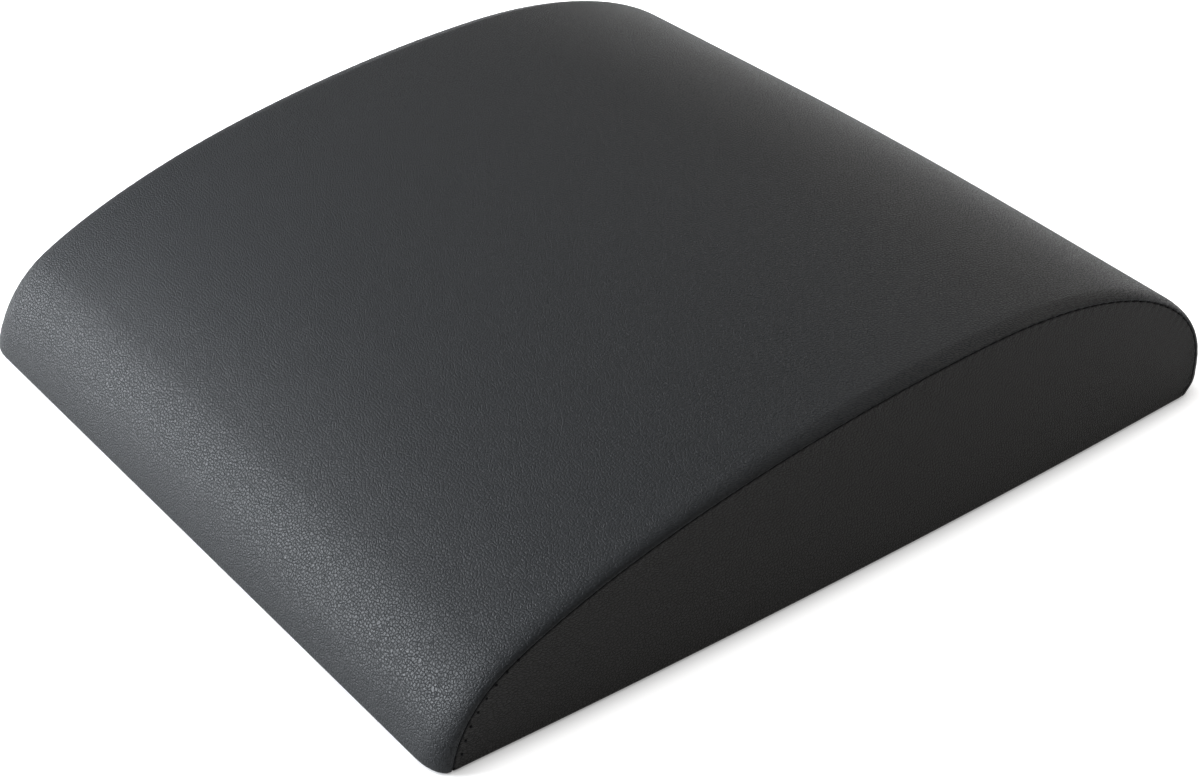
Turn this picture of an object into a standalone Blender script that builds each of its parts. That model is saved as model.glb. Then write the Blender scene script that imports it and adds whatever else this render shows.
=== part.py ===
"""Ab mat: a foam wedge with an arched top, in a sewn leatherette cover.

The low nose points to -X and the thick heel to +X. The pad stands on z = 0, with the origin under its middle.
Every layer follows one outline, the arch seen from the side. A point of a layer is given by a station along
that outline, an inset from the side of the pad and a depth under the outline, and swell() then moves it to
where the filling pushes it. Lengths are in metres. The seen side, at -Y, is the right one.
"""

from math import cos, exp, pi, sin, sqrt

import bmesh
import bpy
from mathutils import Vector

# The pad
LENGTH = 0.380
EDGE_WIDTH = 0.333
EDGE_HEIGHT = 0.0785
CROWN = 0.0051
SEAM_BOW = 0.0022
FLOOR_BOW = 0.0036
BOW_HEIGHT = 0.050

# The arch: knots from the nose's foot to the heel's foot, each a point and the handles before and after it,
# as shares of LENGTH from the middle of the pad and of EDGE_HEIGHT
OUTLINE_KNOT_SHARES = (
    ((-0.5, 0.0), (-0.5, 0.0), (-0.5035, 0.066)),
    ((-0.425, 0.464), (-0.478, 0.330), (-0.278, 0.834)),
    ((0.166, 1.0), (-0.019, 1.0), (0.351, 1.0)),
    ((0.5, 0.079), (0.5, 0.656), (0.5, 0.043)),
    ((0.4865, 0.0), (0.491, 0.018), (0.4865, 0.0)),
)
STRETCH_STEPS = (5, 7, 12, 2)
# Below this height the way out of the pad turns level, so that the layers keep their order at the feet
LEVEL_HEIGHT = 0.012
# Stations at each end that are moved along a row, so that it ends at its own height above the floor
NOSE_EASE_STEPS = 3
HEEL_EASE_STEPS = 4

# How the top rolls over to the sides, along the arch and at its two feet
ARCH_ROLL_WIDTH = 0.006
ARCH_ROLL_DEPTH = 0.0015
NOSE_ROLL_WIDTH = 0.0115
NOSE_ROLL_DEPTH = 0.0072
HEEL_ROLL_WIDTH = 0.0095
HEEL_ROLL_DEPTH = 0.0062
ROLL_REACH = 0.027
ROLL_TURNS = (pi / 6, pi / 3, pi / 2)
CROWN_SHARES = (0.0, 0.4, 0.75, 1.0)

# The leatherette cover and its folds into the seams. LEAST_COLUMN is the height of a side layer at its two ends
LEATHER = 0.0008
SEAM_GAP = 0.0003
SEAM_LIP = 0.0013
SEAM_ALLOWANCE = 0.005
BASE_ROLL = 0.002
BASE_TUCK = 0.001
BASE_LIP = 0.0025
BASE_ALLOWANCE = 0.0025
CORNER_CLIP = 0.0015
LEAST_COLUMN = 0.0006
SIDE_SHARES = (0.3, 0.65, 1.0)
BASE_SIDE_STEPS = 10
SEAM_TURNS = (pi / 4, pi / 2)

# The filling. SEAM_SLACK is kept free under the side seams' folds
LAYER_GAP = 0.0005
SEAM_SLACK = 0.002
TOP_PADDING = 0.003
PADDING_FOOT = 0.012
SIDE_PADDING = 0.0025
CORE_CHAMFER = 0.0042

# The sewing thread
THREAD_RADIUS = 0.0004
THREAD_PROUD = 0.0001
THREAD_RESOLUTION = 1

MERGE_DISTANCE = 0.00001

# Worked out from the sizes above
LAST_STATION = sum(STRETCH_STEPS)
HALF_WIDTH = EDGE_WIDTH / 2
SEAM_END = SEAM_LIP + SEAM_ALLOWANCE
BASE_SEAM_INSET = BASE_ROLL + BASE_TUCK + BASE_LIP
BASE_SEAM_TOP = BASE_LIP + BASE_ALLOWANCE
BASE_CLEAR = BASE_SEAM_TOP + LAYER_GAP
FOLD_FOOT = BASE_CLEAR + LEATHER
BASE_EDGE_INSET = BASE_SEAM_INSET + SEAM_GAP
BASE_THREAD_HEIGHT = BASE_LIP + SEAM_GAP / 2 - sqrt(2) * (THREAD_RADIUS + SEAM_GAP)
COVER_DEPTH = LEATHER + LAYER_GAP
UNDER_SEAM = SEAM_LIP + SEAM_GAP + LEATHER + SEAM_SLACK
CORE_DEPTH = COVER_DEPTH + TOP_PADDING + LAYER_GAP
CORE_INSET = COVER_DEPTH + SIDE_PADDING + LAYER_GAP
CORE_SHOULDER = LAYER_GAP + max(BASE_EDGE_INSET + LEATHER, SEAM_END)

# Colour, roughness
TOP_FINISH = ((0.040, 0.043, 0.048), 0.42)
SIDE_FINISH = ((0.024, 0.025, 0.025), 0.55)
BASE_FINISH = ((0.020, 0.020, 0.021), 0.80)
FOAM_FINISH = ((0.62, 0.60, 0.52), 0.95)
PADDING_FINISH = ((0.80, 0.80, 0.78), 0.95)
THREAD_FINISH = ((0.012, 0.012, 0.013), 0.60)


def outline(station):
    """The point (x, z) of the arch at a station, and the way out of the pad there."""
    stretch = 0
    while station > STRETCH_STEPS[stretch] and stretch < len(STRETCH_STEPS) - 1:
        station -= STRETCH_STEPS[stretch]
        stretch += 1
    t = station / STRETCH_STEPS[stretch]
    u = 1 - t
    size = Vector((LENGTH, EDGE_HEIGHT))
    start, _, leave = (Vector(shares) * size for shares in OUTLINE_KNOT_SHARES[stretch])
    end, arrive, _ = (Vector(shares) * size for shares in OUTLINE_KNOT_SHARES[stretch + 1])
    point = start * u**3 + leave * (3 * u**2 * t) + arrive * (3 * u * t**2) + end * t**3
    along = (leave - start) * u**2 + (arrive - leave) * (2 * u * t) + (end - arrive) * t**2
    along.normalize()
    out = Vector((-along.y, along.x * min(point.y / LEVEL_HEIGHT, 1)))
    return point, out.normalized()


def roll_over(station):
    """Width and depth of the rounding from the top to the side, which is rounder at the feet than on the arch."""
    point, _ = outline(station)
    near_foot = exp(-((point.y / ROLL_REACH) ** 2))
    if point.x < 0:
        width, depth = NOSE_ROLL_WIDTH, NOSE_ROLL_DEPTH
    else:
        width, depth = HEEL_ROLL_WIDTH, HEEL_ROLL_DEPTH
    width = ARCH_ROLL_WIDTH + (width - ARCH_ROLL_WIDTH) * near_foot
    depth = ARCH_ROLL_DEPTH + (depth - ARCH_ROLL_DEPTH) * near_foot
    return width, depth


def surface_depth(station, inset):
    """How deep the rounded edge lies under the outline at an inset from the side."""
    width, depth = roll_over(station)
    share = max(0.0, 1 - inset / width)
    return depth * (1 - sqrt(1 - share**2))


# Rows: each takes a station and gives (inset, depth)


def crown_row(share):
    """A row over the top, at a share of the way from the middle to where the edge starts to round."""

    def row(station):
        width, _ = roll_over(station)
        return HALF_WIDTH - share * (HALF_WIDTH - width), 0.0

    return row


def layer_row(share, edge_inset, depth):
    """A row of a layer under the top, at a share of the way from the middle to the layer's own edge."""
    inset = HALF_WIDTH - share * (HALF_WIDTH - edge_inset)

    def row(station):
        return inset, depth + surface_depth(station, inset)

    return row


def roll_row(turn):
    """A row on the rounding from the top to the side."""

    def row(station):
        width, depth = roll_over(station)
        return width * (1 - sin(turn)), depth * (1 - cos(turn))

    return row


def under_seam_row(inset, drop):
    """A row at a steady drop below the foot of the rounding."""

    def row(station):
        return inset, roll_over(station)[1] + drop

    return row


def point_at(row, station):
    inset, depth = row(station)
    point, normal = outline(station)
    place = point - normal * depth
    return Vector((place.x, inset - HALF_WIDTH, place.y))


def station_at_height(row, low, high, height):
    """The station where a row rises through a height, between one station below it and one above."""
    for _ in range(40):
        middle = (low + high) / 2
        if point_at(row, middle).z < height:
            low = middle
        else:
            high = middle
    return high


def row_points(row, floor):
    """A row's points, one for each station, with the ends of the row moved along it to the floor height."""
    nose_limit = NOSE_EASE_STEPS
    heel_limit = LAST_STATION - HEEL_EASE_STEPS
    first = station_at_height(row, 0, nose_limit, floor)
    last = station_at_height(row, LAST_STATION, heel_limit, floor)
    stations = list(range(LAST_STATION + 1))
    for step in range(NOSE_EASE_STEPS):
        stations[step] = first + (nose_limit - first) * step / NOSE_EASE_STEPS
    for step in range(HEEL_EASE_STEPS):
        stations[-1 - step] = last + (heel_limit - last) * step / HEEL_EASE_STEPS
    return [point_at(row, station) for station in stations]


def swell(point):
    """Where the filling pushes a point of the straight-sided pad: sides bowed out, top crowned."""
    across = point.y / HALF_WIDTH
    along = 2 * point.x / LENGTH
    low = 1 - min(point.z / BOW_HEIGHT, 1)
    bow = (SEAM_BOW + (FLOOR_BOW - SEAM_BOW) * low) * (1 - along**2)
    rise = CROWN / EDGE_HEIGHT * (1 - across**2)
    return Vector((point.x, point.y + across * bow, point.z * (1 + rise)))


def foot_points(edge, inward):
    """From a row's end above the floor: round the foot, under the pad and up into the base seam."""
    path = (
        (BASE_ROLL, 0.0),
        (BASE_ROLL + BASE_TUCK, 0.0),
        (BASE_SEAM_INSET, BASE_LIP),
        (BASE_SEAM_INSET, BASE_SEAM_TOP),
    )
    points = []
    for inset, height in path:
        point = edge + inward * inset
        point.z = height
        points.append(point)
    return points


def foot_rows():
    """The rows that reach the floor, each with its turn round the corner, from the middle to the side."""
    rows = [(crown_row(share), 0.0) for share in CROWN_SHARES]
    return rows + [(roll_row(turn), turn) for turn in ROLL_TURNS]


def base_ring(inset, height):
    """A closed ring round the foot of the pad, anticlockwise from the nose's middle, at an inset from its edge."""
    nose = []
    heel = []
    for row, turn in foot_rows():
        ends = row_points(row, BASE_ROLL)
        nose.append(ends[0] + Vector((cos(turn), sin(turn), 0)) * inset)
        heel.append(ends[-1] + Vector((-cos(turn), sin(turn), 0)) * inset)
    steps = [step / BASE_SIDE_STEPS for step in range(1, BASE_SIDE_STEPS)]
    side = [nose[-1].lerp(heel[-1], share) for share in steps]
    half = nose + side + heel[::-1]
    other = [Vector((point.x, -point.y, 0)) for point in half[-2:0:-1]]
    ring = half + other
    for point in ring:
        point.z = height
    return ring


def drop_rows(top, bottom_height, shares):
    """Rows from a row on the side down to a straight line at a height, which the ends share out evenly."""
    steps = [0.0]
    for before, after in zip(top, top[1:]):
        steps.append(steps[-1] + (after - before).length)
    rows = []
    for share in shares:
        row = []
        for point, step in zip(top, steps):
            foot_x = top[0].x + (top[-1].x - top[0].x) * step / steps[-1]
            foot = Vector((foot_x, point.y, bottom_height))
            row.append(point.lerp(foot, share))
        rows.append(row)
    return rows


# Blender objects


def material(name, finish):
    colour, roughness = finish
    made = bpy.data.materials.new(name)
    made.use_nodes = True
    shader = made.node_tree.nodes["Principled BSDF"]
    shader.inputs["Base Color"].default_value = (*colour, 1)
    shader.inputs["Roughness"].default_value = roughness
    shader.inputs["Metallic"].default_value = 0
    return made


def grid_shape(rows, origin, closed=False):
    """A sheet over rows of points that run from the nose to the heel, and its rows of vertices.

    None in a row leaves a hole, and closed rows join their ends.
    """
    shape = bmesh.new()
    verts = [[point and shape.verts.new(swell(point) - origin) for point in row] for row in rows]
    for above, below in zip(verts, verts[1:]):
        for start in range(len(above) if closed else len(above) - 1):
            end = (start + 1) % len(above)
            corners = (above[start], below[start], below[end], above[end])
            if None not in corners:
                shape.faces.new(corners)
    return shape, verts


def mesh_piece(name, shape, finish, location=(0, 0, 0)):
    mesh = bpy.data.meshes.new(name)
    shape.to_mesh(mesh)
    shape.free()
    mesh.shade_smooth()
    piece = bpy.data.objects.new(name, mesh)
    piece.location = location
    mesh.materials.append(material(name, finish))
    return piece


def mirror(piece):
    other_half = piece.modifiers.new("Other half", "MIRROR")
    other_half.use_axis = (False, True, False)
    other_half.merge_threshold = MERGE_DISTANCE


def thicken(piece, thickness):
    wall = piece.modifiers.new("Wall", "SOLIDIFY")
    wall.thickness = thickness
    wall.offset = -1
    wall.use_even_offset = True
    wall.use_quality_normals = True


def thread_piece(name, points, closed):
    path = bpy.data.curves.new(name, "CURVE")
    path.dimensions = "3D"
    path.bevel_depth = THREAD_RADIUS
    path.bevel_resolution = THREAD_RESOLUTION
    path.use_fill_caps = True
    line = path.splines.new("POLY")
    line.points.add(len(points) - 1)
    for target, point in zip(line.points, points):
        target.co = (*point, 1)
    line.use_cyclic_u = closed
    path.materials.append(material(name, THREAD_FINISH))
    return bpy.data.objects.new(name, path)


# Pieces


def top_panel():
    """The strip over the nose, the arch and the heel, folded in at the side seams and under at both feet."""
    rows = []
    for row, turn in foot_rows():
        points = row_points(row, BASE_ROLL)
        nose = foot_points(points[0], Vector((cos(turn), sin(turn), 0)))
        heel = foot_points(points[-1], Vector((-cos(turn), sin(turn), 0)))
        rows.append(nose[::-1] + points + heel)
    no_foot = [None] * len(nose)
    for turn in SEAM_TURNS:
        row = under_seam_row(SEAM_LIP * (1 - cos(turn)), SEAM_LIP * sin(turn))
        rows.append(no_foot + row_points(row, BASE_ROLL) + no_foot)
    allowance = row_points(under_seam_row(SEAM_END, SEAM_LIP), FOLD_FOOT)
    rows.append(no_foot + allowance + no_foot)
    shape, _ = grid_shape(rows, Vector())
    piece = mesh_piece("top_panel", shape, TOP_FINISH)
    mirror(piece)
    thicken(piece, LEATHER)
    return piece


def side_layer(name, rows, side, thickness, finish):
    """A layer for one side of the pad: -1 is the right side, at -Y, and 1 the left side."""
    if side > 0:
        rows = [[Vector((point.x, -point.y, point.z)) for point in row] for row in reversed(rows)]
    location = Vector((0, side * HALF_WIDTH, 0))
    shape, _ = grid_shape(rows, location)
    piece = mesh_piece(name, shape, finish, location)
    thicken(piece, thickness)
    return piece


def side_panel(name, side):
    """The flat panel under one side seam, folded in along the arch and under the pad along the floor."""
    top_rows = [row_points(under_seam_row(SEAM_END, SEAM_LIP + SEAM_GAP), FOLD_FOOT)]
    for turn in (*reversed(SEAM_TURNS), 0):
        drop = 2 * SEAM_LIP + SEAM_GAP - SEAM_LIP * sin(turn)
        row = under_seam_row(SEAM_LIP * (1 - cos(turn)), drop)
        top_rows.append(row_points(row, BASE_ROLL + LEAST_COLUMN))
    rows = top_rows + drop_rows(top_rows[-1], BASE_ROLL, SIDE_SHARES)
    feet = [foot_points(point, Vector((0, 1, 0))) for point in rows[-1]]
    for foot, clip in ((feet[0], CORNER_CLIP), (feet[-1], -CORNER_CLIP)):
        for folded in foot[2:]:
            folded.x += clip
    rows += [list(row) for row in zip(*feet)]
    return side_layer(name, rows, side, LEATHER, SIDE_FINISH)


def side_padding(name, side):
    """The thin foam behind a side panel, between the two seams' allowances."""
    foot_height = BASE_LIP + LAYER_GAP
    top = row_points(under_seam_row(COVER_DEPTH, UNDER_SEAM), foot_height + LEAST_COLUMN)
    rows = [top] + drop_rows(top, foot_height, SIDE_SHARES)
    return side_layer(name, rows, side, SIDE_PADDING, PADDING_FINISH)


def base_panel():
    """The flat panel that the pad stands on, with its edge turned up into the base seam."""
    rows = [
        base_ring(BASE_EDGE_INSET, BASE_SEAM_TOP),
        base_ring(BASE_EDGE_INSET, BASE_LIP),
        base_ring(BASE_EDGE_INSET + BASE_LIP, 0.0),
    ]
    shape, verts = grid_shape(rows, Vector(), closed=True)
    shape.faces.new(reversed(verts[-1]))
    piece = mesh_piece("base_panel", shape, BASE_FINISH)
    thicken(piece, LEATHER)
    return piece


def top_padding():
    """The thin foam over the core, between the two side seams' allowances."""
    edge_inset = SEAM_END + LAYER_GAP
    rows = [row_points(layer_row(share, edge_inset, COVER_DEPTH), PADDING_FOOT) for share in CROWN_SHARES]
    shape, _ = grid_shape(rows, Vector())
    piece = mesh_piece("top_padding", shape, PADDING_FINISH)
    mirror(piece)
    thicken(piece, TOP_PADDING)
    return piece


def core_ring(row, bottom):
    """A section of the core along the pad, its feet cut back over the base seam's allowances."""
    arch = row_points(row, BASE_CLEAR)
    ends = row_points(crown_row(0.0), BASE_ROLL)
    nose = max(arch[0].x + LAYER_GAP, ends[0].x + CORE_SHOULDER)
    heel = min(arch[-1].x - LAYER_GAP, ends[-1].x - CORE_SHOULDER)
    y = arch[0].y
    return arch + [
        Vector((heel, y, BASE_CLEAR)),
        Vector((heel - CORE_CHAMFER, y, bottom)),
        Vector((nose + CORE_CHAMFER, y, bottom)),
        Vector((nose, y, BASE_CLEAR)),
    ]


def foam_core():
    """The firm wedge, rebated along its upper edges for the side seams and chamfered along its lower ones."""
    shoulder = CORE_SHOULDER + LAYER_GAP
    flat_edge = shoulder + CORE_CHAMFER
    rings = [core_ring(layer_row(share, flat_edge, CORE_DEPTH), COVER_DEPTH) for share in CROWN_SHARES]
    rings.append(core_ring(layer_row(1.0, shoulder, CORE_DEPTH), BASE_CLEAR))
    rings.append(core_ring(under_seam_row(CORE_SHOULDER, UNDER_SEAM), BASE_CLEAR))
    rings.append(core_ring(under_seam_row(CORE_INSET, UNDER_SEAM), BASE_CLEAR))
    shape, verts = grid_shape(rings, Vector(), closed=True)
    shape.faces.new(reversed(verts[-1]))
    piece = mesh_piece("foam_core", shape, FOAM_FINISH)
    mirror(piece)
    return piece


def side_thread(name, side):
    """The sewing thread in the groove of one side seam."""
    row = under_seam_row(-THREAD_PROUD, SEAM_LIP + SEAM_GAP / 2)
    points = [swell(point) for point in row_points(row, BASE_ROLL)]
    return thread_piece(name, [(point.x, -side * point.y, point.z) for point in points], closed=False)


def base_thread():
    """The sewing thread in the groove round the base panel."""
    ring = base_ring(BASE_SEAM_INSET + SEAM_GAP / 2, BASE_THREAD_HEIGHT)
    return thread_piece("base_thread", [swell(point) for point in ring], closed=True)


def main():
    for old in list(bpy.data.objects):
        bpy.data.objects.remove(old)
    pad = bpy.data.collections.new("ab_mat")
    bpy.context.scene.collection.children.link(pad)
    origin = bpy.data.objects.new("ab_mat_origin", None)
    pad.objects.link(origin)
    pieces = (
        foam_core(),
        top_padding(),
        side_padding("right_side_padding", -1),
        side_padding("left_side_padding", 1),
        top_panel(),
        side_panel("right_side_panel", -1),
        side_panel("left_side_panel", 1),
        base_panel(),
        side_thread("right_side_thread", -1),
        side_thread("left_side_thread", 1),
        base_thread(),
    )
    for piece in pieces:
        pad.objects.link(piece)
        piece.parent = origin


main()
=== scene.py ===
"""Looks of an ab mat: an arched foam wedge in a sewn leatherette cover, on the frame of its CAD model.

The cover, its seams and the filling under it follow one arch, seen from the side, as the CAD solids do.
Here they have the close spacing that the leather's folds and the puckers at the stitches need. Lengths are
in metres.
"""

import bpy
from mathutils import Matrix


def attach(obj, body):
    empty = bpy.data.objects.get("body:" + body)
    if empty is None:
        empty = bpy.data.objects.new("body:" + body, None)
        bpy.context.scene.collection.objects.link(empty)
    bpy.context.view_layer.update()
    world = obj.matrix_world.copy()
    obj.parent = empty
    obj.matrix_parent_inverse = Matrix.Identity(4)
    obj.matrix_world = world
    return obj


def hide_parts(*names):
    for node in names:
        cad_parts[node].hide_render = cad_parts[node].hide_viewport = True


bl_info = {
    "name": "Ab mat",
    "version": (1, 0, 0),
    "blender": (4, 5, 0),
    "location": "3D View > Sidebar > Ab mat",
    "description": "Builds the cover, the stitches and the filling of an arched sit-up pad",
    "category": "Add Mesh",
}

from math import cos, pi, radians, sin, sqrt

import bpy
import numpy as np
from bpy.props import FloatProperty, FloatVectorProperty, IntProperty, PointerProperty
from mathutils import Vector

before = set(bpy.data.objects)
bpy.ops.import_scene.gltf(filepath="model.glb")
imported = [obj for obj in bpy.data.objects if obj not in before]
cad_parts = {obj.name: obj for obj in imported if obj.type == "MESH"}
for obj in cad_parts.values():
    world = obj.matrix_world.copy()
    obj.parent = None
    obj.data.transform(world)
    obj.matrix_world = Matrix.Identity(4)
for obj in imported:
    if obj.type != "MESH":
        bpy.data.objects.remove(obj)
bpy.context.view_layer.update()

# The arch: knots from the nose's foot to the heel's foot, each a point and the handles before and after it,
# as shares of the pad's length from its middle and of its edge height
OUTLINE_KNOT_SHARES = (
    ((-0.5, 0.0), (-0.5, 0.0), (-0.5035, 0.066)),
    ((-0.425, 0.464), (-0.478, 0.330), (-0.278, 0.834)),
    ((0.166, 1.0), (-0.019, 1.0), (0.351, 1.0)),
    ((0.5, 0.079), (0.5, 0.656), (0.5, 0.043)),
    ((0.4865, 0.0), (0.491, 0.018), (0.4865, 0.0)),
)
KNOT_SAMPLES = 240

# Columns of a panel between two stitches, and the rows of its parts
COLUMNS_PER_STITCH = 4
CROWN_ROWS = 34
ROLL_ROWS = 7
LIP_ROWS = 4
SIDE_ROWS = 26
FOOT_STEPS = 5
BASE_RINGS = 6

# Points of a row that is only made for its two ends
END_COLUMNS = 9

# How a side panel's rows crowd to its seam, how the base panel's rings crowd to its middle, and how the top
# panel's creases fade over the rounding
SIDE_ROW_POWER = 1.6
BASE_RING_POWER = 0.7
CREASE_FADE_POWER = 0.5

# Least radius of the base seam's rings at the corners, and least height of a side panel's ends
LEAST_CORNER = 0.001
LEAST_COLUMN = 0.0004

# The side panels' walls get thinner where a face is smaller than so many thicknesses
SIDE_WALL_CLAMP = 2.0

# The cloth simulation takes one point of the top panel in so many, and runs for so many frames
CLOTH_COLUMN_STEP = 4
CLOTH_ROW_STEP = 2
CLOTH_FRAMES = 20
CLOTH_SETTINGS = {
    "quality": 6,
    "mass": 0.3,
    "tension_stiffness": 25,
    "compression_stiffness": 25,
    "shear_stiffness": 12,
    "bending_stiffness": 1.5,
    "use_pressure": True,
    "uniform_pressure_force": 4,
    "vertex_group_mass": "Sewn",
    "shrink_min": -0.004,
}

# Rounds of evening out the simulated moves, as the leather is stretched tight over firm foam, and the least
# move that a direction is worked out from
CLOTH_SMOOTHING = 60
LEAST_MOVE = 1e-9

# Seed of the puckers, and the least and the most that one stands up
PUCKER_SEED = 7
PUCKER_FULLNESS = (0.55, 1.3)

# Shares of the grain's height: small pebbles, long creases where the sheet rolls over an edge, and pores
SMALL_PEBBLES = 0.2
LONG_CREASES = 0.6
PORES = 0.15

# Leatherette: how dark its painted shade makes the creases, how light it is where it is lightest, and how
# much its tone adds to its roughness
PAINTED_CREASE_SHADE = 0.55
WORN_SHADE = 1.12
TONE_ROUGHNESS = 0.06

# Each panel's leatherette: the width of its pebbles as a share of the pebble size, the share of creases, the
# grain's depth in metres, the roughness of the pebbles and of the creases, and the specular level
LEATHERETTES = {
    "top": (1.0, 0.29, 0.00017, 0.30, 0.75, 0.2),
    "side": (1.0, 0.30, 0.00028, 0.40, 0.70, 0.18),
    "base": (0.6, 0.3, 0.00010, 0.6, 0.8, 0.3),
}

# Thread: painted highlight, how much lighter the strands are where they catch the light
PAINTED_STRAND_HIGHLIGHT = 2.2

# Foam: painted shade that darkens its pores, and how much its tone adds of that darker colour
PAINTED_PORE_SHADE = 0.72
FOAM_TONE = 0.3

# Lamps' distance from the pad, and each lamp's name, the turn and the height of its direction in degrees, its
# size, its power and its colour
LAMP_DISTANCE = 2.6
COOL = (0.96, 1.0, 1.05)
SOFTBOXES = (
    ("low_left_softbox", 149, 17, 0.8, 76.0, COOL),
    ("low_back_softbox", 122, 16, 0.9, 39.0, COOL),
    ("high_left_softbox", 126, 32, 1.4, 38.0, COOL),
    ("top_softbox", 105, 62, 2.0, 15.0, (0.98, 1.0, 1.02)),
    ("right_softbox", 22, 30, 1.6, 14.5, (1.03, 0.99, 0.94)),
    ("front_softbox", -60, 25, 1.6, 17.0, (1.02, 0.99, 0.96)),
    ("rim_softbox", 60, 25, 1.6, 4.0, (1.03, 0.98, 0.92)),
)

# The world's even light, the floor's own light to the camera and to reflections, the width of the strip along
# the pad's foot in which that light fades, and how far the floor lies under the pad
WHITE = (1, 1, 1, 1)
WORLD_LIGHT = 0.05
FLOOR_COLOUR = (0.8, 0.8, 0.8, 1)
FLOOR_GLOW = 0.9
FLOOR_REFLECTION = 0.5
CONTACT_SHADOW = 0.008
FLOOR_DROP = 0.0002

# The camera's shifts to the right and up, as shares of the picture's width
CAMERA_SHIFT = (-0.0030, -0.0024)


def metres(name, description, default):
    """A property with a length in metres."""
    return FloatProperty(name=name, description=description, default=default, unit="LENGTH")


def angle(name, description, default):
    """A property with an angle, whose default is given in degrees."""
    return FloatProperty(name=name, description=description, default=radians(default), unit="ROTATION")


def tint(name, description, default):
    """A property with a colour."""
    return FloatVectorProperty(name=name, description=description, default=default, subtype="COLOR")


class PadSizes(bpy.types.PropertyGroup):
    """Sizes of the whole pad"""

    length: metres("Length", "From the nose's foot to the heel", 0.380)
    edge_width: metres("Edge width", "Across the pad at its two feet, before the sides bow out", 0.333)
    edge_height: metres("Edge height", "Height of the arch at the side seams", 0.0785)
    crown: metres("Crown", "How much higher the middle is than the side seams", 0.0051)
    seam_bow: metres("Seam bow", "How far the filling pushes each side seam out", 0.0022)
    floor_bow: metres("Floor bow", "How far the filling pushes each side out at the floor", 0.0036)
    bow_height: metres("Bow height", "Height above which a side is bowed as its seam is", 0.050)
    level_height: metres("Level height", "Height below which the layers lie level behind each other", 0.012)


class CoverSizes(bpy.types.PropertyGroup):
    """Sizes of the leatherette cover and its seams"""

    leather: metres("Leatherette", "Thickness of the cover", 0.0008)
    seam_gap: metres("Seam gap", "Between the two sheets of a seam", 0.0003)
    seam_drop: metres("Seam drop", "From the foot of the rounding to the middle of a side seam", 0.0008)
    seam_lip: metres("Seam lip", "Radius of a sheet's fold at a side seam", 0.0005)
    seam_allowance: metres("Seam allowance", "Leatherette turned in at a side seam", 0.0058)
    base_roll: metres("Base roll", "Radius of the cover's edge at the floor", 0.002)
    base_tuck: metres("Base tuck", "Flat strip under the edge", 0.001)
    base_lip: metres("Base lip", "Radius of a sheet's fold at the base seam", 0.0025)
    base_allowance: metres("Base allowance", "Leatherette turned up at the base seam", 0.0025)
    corner_clip: metres("Corner clip", "Cut off the turned-up corners", 0.0015)
    arch_roll_width: metres("Arch roll width", "Width of the rounding from top to side on the arch", 0.006)
    arch_roll_depth: metres("Arch roll depth", "Depth of that rounding", 0.0018)
    nose_roll_width: metres("Nose roll width", "Width of the rounding at the nose's foot", 0.0125)
    nose_roll_depth: metres("Nose roll depth", "Depth of that rounding", 0.0060)
    heel_roll_width: metres("Heel roll width", "Width of the rounding at the heel's foot", 0.0095)
    heel_roll_depth: metres("Heel roll depth", "Depth of that rounding", 0.0062)
    roll_reach: metres("Roll reach", "Height over which a foot's rounding turns into the arch's", 0.022)
    wide_reach: metres("Wide reach", "Height over which the nose's rounding narrows to the arch's", 0.040)
    flatness: FloatProperty(
        name="Flatness",
        description="How much flatter than an ellipse the rounding gets towards the heel",
        default=0.8,
    )
    flat_start: metres("Flat start", "Place from the middle behind which the rounding gets flatter", -0.09)
    flat_reach: metres("Flat reach", "Length over which it gets flatter, then rounder to the flat end", 0.11)
    flat_end: metres("Flat end", "Place from the middle at which the rounding is no longer flatter", 0.19)
    swell: metres("Swell", "Most that the filling pushes the top panel out between its seams", 0.0006)


class FillingSizes(bpy.types.PropertyGroup):
    """Sizes of the foam inside the cover"""

    layer_gap: metres("Layer gap", "Between two layers of the filling", 0.0005)
    seam_slack: metres("Seam slack", "Kept free under the side seams' folds", 0.002)
    top_padding: metres("Top padding", "Thickness of the foam over the core", 0.003)
    padding_foot: metres("Padding foot", "Height above the floor at which the top padding ends", 0.012)
    side_padding: metres("Side padding", "Thickness of the foam behind a side panel", 0.0025)
    core_chamfer: metres("Core chamfer", "Cut off the core's edges", 0.0042)


class SewingSizes(bpy.types.PropertyGroup):
    """Sizes of the stitches"""

    pitch: metres("Pitch", "From one stitch to the next", 0.005)
    stitch_length: metres("Stitch length", "Thread that shows of each stitch", 0.0048)
    thread_width: metres("Thread width", "Diameter of the thread", 0.0009)
    thread_sunk: metres("Thread sunk", "How far the thread lies in the groove of a side seam", 0.00020)
    tilt: angle("Tilt", "Turn of each stitch out of the seam's line", 4)
    side_pucker: metres("Side pucker", "Height of the puckers on a side panel at its seam", 0.00018)
    top_pucker: metres("Top pucker", "Height of the puckers on the top panel at its seams", 0.0001)
    pucker_reach: metres("Pucker reach", "Distance from the seam over which a pucker fades", 0.0035)
    hole_width: metres("Hole width", "Thread that shows in a needle hole near the nose", 0.0012)
    hole_drop: metres("Hole drop", "From the seam to the needle hole at the nose's foot", 0.0023)
    holes: IntProperty(
        name="Needle holes", description="How many show up from each nose's foot", default=9
    )


class Finishes(bpy.types.PropertyGroup):
    """Colours and grain of the materials"""

    top_colour: tint("Top colour", "Leatherette of the top panel", (0.0165, 0.0178, 0.0194))
    side_colour: tint("Side colour", "Leatherette of the side panels", (0.0172, 0.0166, 0.0160))
    base_colour: tint("Base colour", "Leatherette of the base panel", (0.018, 0.018, 0.019))
    thread_colour: tint("Thread colour", "Sewing thread", (0.002, 0.002, 0.0025))
    foam_colour: tint("Foam colour", "Firm core", (0.62, 0.60, 0.52))
    padding_colour: tint("Padding colour", "Soft padding", (0.80, 0.80, 0.78))
    pebble: metres("Pebble", "Width of one pebble of the grain", 0.0013)


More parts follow.
